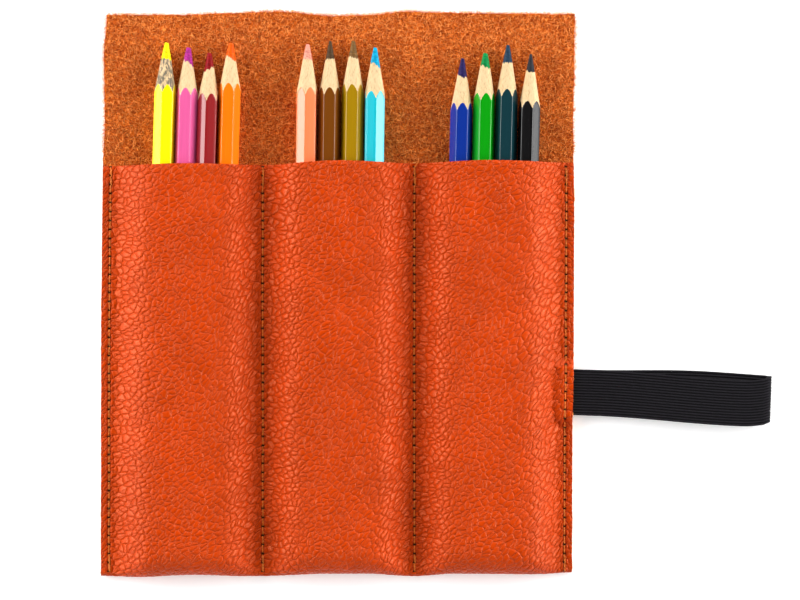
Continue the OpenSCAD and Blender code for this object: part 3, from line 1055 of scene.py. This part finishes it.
class PENCILCASE_OT_elastic(bpy.types.Operator):
    """Build the elastic: its sewn root, and the loop with its round nose"""

    bl_idname = "pencil_case.elastic"
    bl_label = "Elastic loop"

    def execute(self, context):
        root_from = -(7.2 + SWING_X - HALF_W)
        strips = []
        for upper in (False, True):
            spots = []
            for n in range(27):
                along = root_from + (JOIN_X - root_from) * n / 26
                spots.append((along, leg_height(along, upper)))
            strips.append((spots, 0.0 if not upper else 90.0, lambda t: 0.0))
        root = band_piece("elastic_root", strips)
        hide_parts("elastic_sewn_ends")
        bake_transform(root)

        start = JOIN_X - 0.3
        spots = []
        for n in range(60):
            along = start + (NOSE_X - start) * n / 60
            spots.append((along, leg_height(along, False)))
        for n in range(21):
            angle = math.pi * (n / 20 - 0.5)
            around = NOSE_R - BAND_T / 2
            spots.append((NOSE_X + around * math.cos(angle), NOSE_Z + around * math.sin(angle)))
        for n in range(59, -1, -1):
            along = start + (NOSE_X - start) * n / 60
            spots.append((along, leg_height(along, True)))

        def skew(t):
            """The upper leg lies a little nearer the bottom fold, and the lower one bows away from it."""
            lower = math.sin(math.pi * min(1.0, t / 0.5))
            upper = smooth(0.5, 0.62, t) - smooth(0.62, 0.98, t)
            return 0.9 * lower * lower - 1.8 * upper

        loop = band_piece("elastic_loop_band", [(spots, start - root_from, skew)])
        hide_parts("elastic_upper_leg", "elastic_lower_leg", "elastic_nose")
        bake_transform(loop)
        return {"FINISHED"}


# ---- Pencils ----

# Pencil, side, place across the mouth, turn about its axis, length, radius of its worn tip,
# length of bare core and how much further it shows on the right
PENCILS = (
    ("yellow", "left", -60.3, 15, 174.4, 0.72, 6.0, 0.3),
    ("magenta", "left", -52.7, -10, 172.7, 0.84, 5.3, 1.2),
    ("red", "left", -45.45, 21.5, 170.9, 0.82, 5.7, -1.0),
    ("orange", "left", -38.1, -8, 174.1, 0.88, 5.2, 1.0),
    ("peach", "middle", -11.1, 21.5, 173.8, 0.68, 5.2, 0.2),
    ("brown", "middle", -3.35, 0, 175, 0.46, 6.2, -0.3),
    ("ochre", "middle", 4.6, -4, 175, 0.64, 5.7, 0.3),
    ("sky_blue", "middle", 12.15, -22.5, 172.7, 0.64, 6.0, 1.0),
    ("blue", "right", 41.9, 6, 169, 0.58, 6.3, 0.4),
    ("green", "right", 49.7, 10, 170.8, 0.86, 4.8, 0.7),
    ("teal", "right", 57.4, 0, 173.6, 0.6, 6.2, -0.2),
    ("black", "right", 65.3, -15, 170.4, 0.44, 6.2, 0.1),
)
# Each row's lean to the right, in degrees
LEANS = {"left": 1.7, "middle": 0.8, "right": 1.4}
# Width across the flats, radius of the core, and radius that sharpening takes per millimetre of cone
FLATS = 6.7
CORE_R = 1.75
SHARPENING = 0.18
# Length of a pencil below the mouth
PENCIL_RUN = 133.0
BARREL_SEGMENTS = 120
CORE_SEGMENTS = 48
# Furthest that a pencil's box may be from its CAD node's, in metres
MAX_OFF = 0.001


def pencil_frame(side, x, turn):
    """Frame of a lying pencil: its own +Z from butt to tip."""
    corner = FLATS / 2 / math.cos(math.radians(30))
    high = LEATHER + corner * math.cos(math.radians(30 - abs(turn))) + 0.02
    return (
        Matrix.Translation((x, MOUTH_Y, high))
        @ Matrix.Rotation(math.radians(-LEANS[side]), 4, "Z")
        @ Matrix.Translation((0, -PENCIL_RUN, 0))
        @ Matrix.Rotation(math.radians(-90), 4, "X")
        @ Matrix.Rotation(math.radians(turn), 4, "Z")
    )


def hexagon(angle, corner_radius):
    """Radius of a hexagon with rounded corners, at an angle from one of its corners."""
    local = (angle + math.radians(30)) % math.radians(60) - math.radians(30)
    inner = FLATS / 2
    flat = inner / math.cos(math.radians(30) - abs(local))
    centre = (inner - corner_radius) / math.cos(math.radians(30))
    reach = corner_radius * corner_radius - (centre * math.sin(local)) ** 2
    if reach <= 0:
        return flat
    return min(flat, centre * math.cos(local) + math.sqrt(reach))


class PENCILCASE_OT_pencils(bpy.types.Operator):
    """Build the twelve pencils: a painted barrel with its sharpened wood, and a coloured core"""

    bl_idname = "pencil_case.pencils"
    bl_label = "Coloured pencils"

    def execute(self, context):
        settings = context.scene.pencils
        random = Random(12)
        for name, side, x, turn, long, tip, bare, slant in PENCILS:
            frame_of_pencil = pencil_frame(side, x, turn)
            eccentric = (bare, slant, math.radians(-turn))
            wood = wood_material(settings, smudged=name == "yellow")
            paint = paint_material(name, getattr(settings, f"{name}_paint"))
            core = core_material(name, getattr(settings, f"{name}_core"))
            barrel = self.barrel(name, frame_of_pencil, long, tip, eccentric, [paint, wood], random)
            lead = self.core(name, frame_of_pencil, long, tip, eccentric, [core])
            for piece, part, slot in ((barrel, "barrel", "paint"), (lead, "core", "core")):
                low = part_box(f"{name}_pencil_{part}")[0]
                off = max(abs(low[i] - min(v.co[i] for v in piece.data.vertices)) for i in range(3))
                if off > MAX_OFF:
                    raise RuntimeError(f"{piece.name} is {off / MM:.2f} mm away from its CAD node")
                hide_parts(f"{name}_pencil_{part}")
                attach(piece, f"{name}_pencil")
        return {"FINISHED"}

    def wood_end(self, long, tip, eccentric):
        """Ring where the wood meets the core, ragged and further down on one side."""
        bare, slant, right = eccentric

        def ring(angle):
            ragged = 1.1 * noise.noise(polar(2.2, angle, long)) + 0.5 * noise.noise(polar(6, angle, long))
            drop = bare + slant * math.cos(angle - right) + ragged
            return min(CORE_R + 0.03, tip + SHARPENING * drop), long - drop

        return ring

    def place_layers(self, bm, matrix):
        """Keep each point's place on the pencil, then lay the pencil in its pocket."""
        layer = bm.verts.layers.float_vector.new("pencil_place")
        for vert in bm.verts:
            vert[layer] = vert.co.copy()
        bmesh.ops.recalc_face_normals(bm, faces=bm.faces)
        bmesh.ops.transform(bm, matrix=Matrix.Scale(MM, 4) @ matrix, verts=bm.verts)

    def barrel(self, name, matrix, long, tip, eccentric, finishes, random):
        corner = bpy.context.scene.pencils.corner_radius / MM
        bm = bmesh.new()
        nicks = [random.uniform(-0.12, 0.12) for _ in range(12)]

        def paint_end(angle):
            """The sharpener cuts the paint back furthest along the hexagon's corners."""
            ragged = sum(n * math.cos((i + 3) * angle + 2.1 * i) for i, n in enumerate(nicks)) * 0.28
            return long - (hexagon(angle, corner) - tip) / SHARPENING + ragged

        def straight(share):
            def ring(angle):
                return polar(hexagon(angle, corner), angle, share * (paint_end(angle) - 0.2))
            return ring

        def inset(radius_off, s):
            return lambda angle: polar(hexagon(angle, corner) - radius_off, angle, s)

        end_of = self.wood_end(long, tip, eccentric)

        def lip(angle):
            return polar(hexagon(angle, corner) - 0.06, angle, paint_end(angle))

        def cone(share):
            def ring(angle):
                outer = hexagon(angle, corner) - 0.08
                low = paint_end(angle) + 0.05
                inner, high = end_of(angle)
                radius = outer + (inner - outer) * share
                s = low + (high - low) * share
                rough = 0.018 * noise.noise(polar(4, angle, s / 3.0))
                return polar(radius + rough, angle, s)
            return ring

        def bore(s):
            return lambda angle: polar(CORE_R + 0.01, angle, s)

        def rim(angle):
            inner, high = end_of(angle)
            return polar(inner - 0.04, angle, high)

        rings = [inset(0.18, 0.0), inset(0.05, 0.05), inset(0.0, 0.2)]
        painted = [straight(0.003 + 0.993 * n / 13) for n in range(14)] + [straight(1.0)]
        cones = [cone(n / 9) for n in range(10)]
        rings += painted + [lip] + cones + [rim, bore(long - 8.0), bore(0.0)]
        last_paint = 3 + len(painted)
        first, last = loft(
            bm, BARREL_SEGMENTS, rings, FLATS / 2, closed=False,
            material=lambda ring: int(ring > last_paint),
        )
        for face in bmesh.ops.bridge_loops(bm, edges=first + last)["faces"]:
            face.material_index = 1
        self.place_layers(bm, matrix)
        return finished(f"{name}_painted_barrel", bm, finishes, 38)

    def core(self, name, matrix, long, tip, eccentric, finishes):
        bm = bmesh.new()
        end_of = self.wood_end(long, tip, eccentric)

        def bar(radius, s):
            return lambda angle: polar(radius, angle, s)

        def cone(share):
            def ring(angle):
                inner, low = end_of(angle)
                high = long - 0.5 * tip
                narrow = tip * 0.98
                radius = inner + (narrow - inner) * share
                return polar(radius, angle, low + (high - low) * share)
            return ring

        def worn(share):
            """The tip is rounded off, a little to one side."""
            def ring(angle):
                radius = tip * math.cos(share * math.pi / 2) ** 0.7
                s = long - 0.5 * tip + 0.5 * tip * math.sin(share * math.pi / 2)
                s -= 0.16 * radius * math.cos(angle - eccentric[2])
                return polar(radius, angle, s)
            return ring

        rings = [bar(CORE_R - 0.1, 0.0), bar(CORE_R, 0.06), bar(CORE_R, long - 14.0)]
        rings.append(bar(CORE_R - 0.25, long - 9.0))
        rings += [cone(n / 8) for n in range(9)]
        rings += [worn(share) for share in (0.25, 0.5, 0.75, 0.92)]
        loft(bm, CORE_SEGMENTS, rings, CORE_R)
        self.place_layers(bm, matrix)
        return finished(f"{name}_coloured_core", bm, finishes, 50)


def paint_material(name, paint):
    """Glossy lacquer over wood, with faint runs along the barrel and fine handling scratches."""
    material, recipe, shader = new_material(f"{name} lacquer")
    place = place_of(recipe, "pencil_place")
    runs = recipe.noise(recipe.vector("MULTIPLY", place, (1.6, 1.6, 0.06)), 1.0, 3.0, 0.6)
    tone = recipe.mix(recipe.ramp(runs, 0.3, 0.7), shade(paint, 0.95), shade(paint, 1.03))
    scratches = recipe.noise(recipe.vector("MULTIPLY", place, (7.0, 7.0, 0.5)), 1.0, 4.0, 0.8)
    dust = recipe.ramp(scratches, 0.66, 0.76, 0.0, 0.18)
    tone = recipe.mix(dust, tone, (0.8, 0.78, 0.74))
    rough = recipe.ramp(scratches, 0.4, 0.75, 0.3, 0.45, "LINEAR")
    recipe.feed(shader, {
        "Base Color": tone, "Roughness": rough, "Specular IOR Level": 0.12, "Coat Weight": 0.75,
        "Coat Roughness": 0.03, "Normal": recipe.bump(runs, 0.04, 0.00005),
    })
    return material


def wood_material(settings, smudged):
    """Pale sharpened wood with fine streaks along the pencil, and on one pencil dark smudges."""
    name = "Sharpened wood, smudged" if smudged else "Sharpened wood"
    found = bpy.data.materials.get(name)
    if found:
        return found
    material, recipe, shader = new_material(name)
    place = place_of(recipe, "pencil_place")
    streaks = recipe.noise(recipe.vector("MULTIPLY", place, (3.2, 3.2, 0.4)), 1.0, 4.0, 0.75)
    streaked = recipe.ramp(streaks, 0.46, 0.68, 0.0, 0.7)
    tone = recipe.mix(streaked, settings.wood_colour, settings.streak_colour)
    if smudged:
        dirt = recipe.noise(recipe.vector("MULTIPLY", place, (1.3, 1.3, 0.45)), 1.0, 4.0, 0.75)
        tone = recipe.mix(recipe.ramp(dirt, 0.44, 0.54, 0.0, 0.95), tone, (0.1, 0.085, 0.06))
    bent = recipe.bump(streaks, 0.6, 0.00012)
    recipe.feed(shader, {"Base Color": tone, "Roughness": 0.75, "Normal": bent})
    return material


def core_material(name, core):
    """Waxy coloured core with turning marks from the sharpener."""
    material, recipe, shader = new_material(f"{name} core")
    place = place_of(recipe, "pencil_place")
    marks = recipe.noise(recipe.vector("MULTIPLY", place, (0.8, 0.8, 2.6)), 1.0, 3.0, 0.6)
    tone = recipe.mix(recipe.ramp(marks, 0.35, 0.65), shade(core, 0.5), core)
    rough = recipe.ramp(marks, 0.3, 0.7, 0.35, 0.55, "LINEAR")
    recipe.feed(shader, {
        "Base Color": tone, "Roughness": rough, "Specular IOR Level": 0.1,
        "Normal": recipe.bump(marks, 0.5, 0.0001),
    })
    return material


# ---- Stage: camera, lights, floor ----


# Sides of each soft light's panel, in metres
SOFTBOX = (0.9, 0.56)


class PENCILCASE_OT_stage(bpy.types.Operator):
    """Set up the camera straight overhead, the white floor, which glows as painted light, and the soft
    light
    """

    bl_idname = "pencil_case.stage"
    bl_label = "Camera, light and floor"

    def execute(self, context):
        scene = context.scene
        settings = scene.stage
        self.camera(scene, settings)
        self.floor(settings)
        self.lights(settings)
        self.room(scene, settings)
        scene.view_settings.view_transform = "Standard"
        return {"FINISHED"}

    def camera(self, scene, settings):
        camera = bpy.data.cameras.new("overhead_camera")
        camera.sensor_width = 36.0
        camera.lens = 36.0 * settings.camera_height / settings.view_width
        camera.clip_end = 20.0
        holder = bpy.data.objects.new("overhead_camera", camera)
        holder.location = (0.0212, -0.0017, settings.camera_height)
        scene.collection.objects.link(holder)
        scene.camera = holder

    def floor(self, settings):
        bm = bmesh.new()
        bmesh.ops.create_grid(bm, x_segments=2, y_segments=2, size=3.0)
        bmesh.ops.translate(bm, verts=bm.verts, vec=(0, 0, -0.00005))
        material, recipe, shader = new_material("Plain white floor")
        place = recipe.add("ShaderNodeTexCoord").outputs["Object"]
        cloudy = recipe.noise(place, 3.0, 2.0)
        floor = settings.floor_colour
        tone = recipe.mix(recipe.ramp(cloudy, 0.3, 0.7), shade(floor, 0.99), floor)
        spot = recipe.add("ShaderNodeSeparateXYZ", {0: place})
        # Painted light: the floor glows, weakly near the case and strongly further out, and less towards
        # the bottom of the view; the glow fills the case's shadow and lights the case like a lamp
        away = recipe.add("ShaderNodeVectorMath", {0: place}, operation="LENGTH").outputs["Value"]
        glow = recipe.ramp(away, 0.16, 0.32, 0.27, 2.4)
        glow = recipe.maths("MULTIPLY", glow, recipe.ramp(spot.outputs[1], -0.8, -0.2, 0.15, 1.0))
        recipe.feed(shader, {
            "Base Color": tone, "Roughness": 0.9, "Specular IOR Level": 0.1,
            "Emission Color": (1.0, 1.0, 1.0, 1.0), "Emission Strength": glow,
        })
        finished("plain_floor", bm, [material])

    def lights(self, settings):
        for name, place, power in (
            ("left_softbox", (-0.95, 0.2, 0.39), settings.side_light * 2.15),
            ("right_softbox", (1.0, 0.1, 0.4), settings.side_light * 2.3),
            ("top_softbox", (0.05, 1.05, 0.45), settings.side_light * 1.1),
            ("bottom_softbox", (0.05, -1.05, 0.4), settings.side_light * 0.2),
        ):
            light = bpy.data.lights.new(name, "AREA")
            light.shape = "RECTANGLE"
            light.size, light.size_y = SOFTBOX
            light.energy = power
            holder = bpy.data.objects.new(name, light)
            holder.location = place
            holder.rotation_euler = (Vector((0, 0, 0)) - Vector(place)).to_track_quat("-Z", "Y").to_euler()
            bpy.context.scene.collection.objects.link(holder)

    def room(self, scene, settings):
        """A white room, dimmer overhead and past the bottom of the case."""
        world = bpy.data.worlds.new("white_room")
        world.use_nodes = True
        recipe = Recipe(world.node_tree)
        background = world.node_tree.nodes["Background"]
        direction = recipe.add("ShaderNodeTexCoord").outputs["Generated"]
        split = recipe.add("ShaderNodeSeparateXYZ", {0: direction})
        strength = recipe.ramp(split.outputs[2], 0.4, 0.85, settings.room_light, settings.room_light * 0.05)
        from_bottom = recipe.ramp(split.outputs[1], -0.95, -0.35, 0.25, 1.0)
        strength = recipe.maths("MULTIPLY", strength, from_bottom)
        recipe.feed(background, {"Color": (1.0, 0.99, 0.98, 1.0), "Strength": strength})
        scene.world = world


class PENCILCASE_PT_panel(bpy.types.Panel):
    """Lists the steps that build the pencil case"""

    bl_label = "Pencil Case"
    bl_idname = "PENCILCASE_PT_panel"
    bl_space_type = "VIEW_3D"
    bl_region_type = "UI"
    bl_category = "Pencil Case"

    def draw(self, context):
        for operator in BUILD_ORDER:
            self.layout.operator(operator.bl_idname)
        for group, _ in SETTINGS:
            box = self.layout.box()
            box.label(text=group.capitalize())
            values = getattr(context.scene, group)
            for key in values.__annotations__:
                box.prop(values, key)


SETTINGS = (
    ("stage", StageSettings),
    ("leather", LeatherSettings),
    ("sewing", SewingSettings),
    ("elastic", ElasticSettings),
    ("pencils", PencilSettings),
)
BUILD_ORDER = (
    PENCILCASE_OT_stage,
    PENCILCASE_OT_backs,
    PENCILCASE_OT_pockets,
    PENCILCASE_OT_nap,
    PENCILCASE_OT_seams,
    PENCILCASE_OT_elastic,
    PENCILCASE_OT_pencils,
)


def register():
    for group, settings in SETTINGS:
        bpy.utils.register_class(settings)
        setattr(bpy.types.Scene, group, PointerProperty(type=settings))
    for operator in BUILD_ORDER:
        bpy.utils.register_class(operator)
    bpy.utils.register_class(PENCILCASE_PT_panel)


def unregister():
    bpy.utils.unregister_class(PENCILCASE_PT_panel)
    for operator in reversed(BUILD_ORDER):
        bpy.utils.unregister_class(operator)
    for group, settings in reversed(SETTINGS):
        delattr(bpy.types.Scene, group)
        bpy.utils.unregister_class(settings)


def main():
    register()
    bpy.ops.pencil_case.stage()
    bpy.ops.pencil_case.backs()
    bpy.ops.pencil_case.pockets()
    bpy.ops.pencil_case.nap()
    bpy.ops.pencil_case.seams()
    bpy.ops.pencil_case.elastic()
    bpy.ops.pencil_case.pencils()


if __name__ == "__main__":
    main()
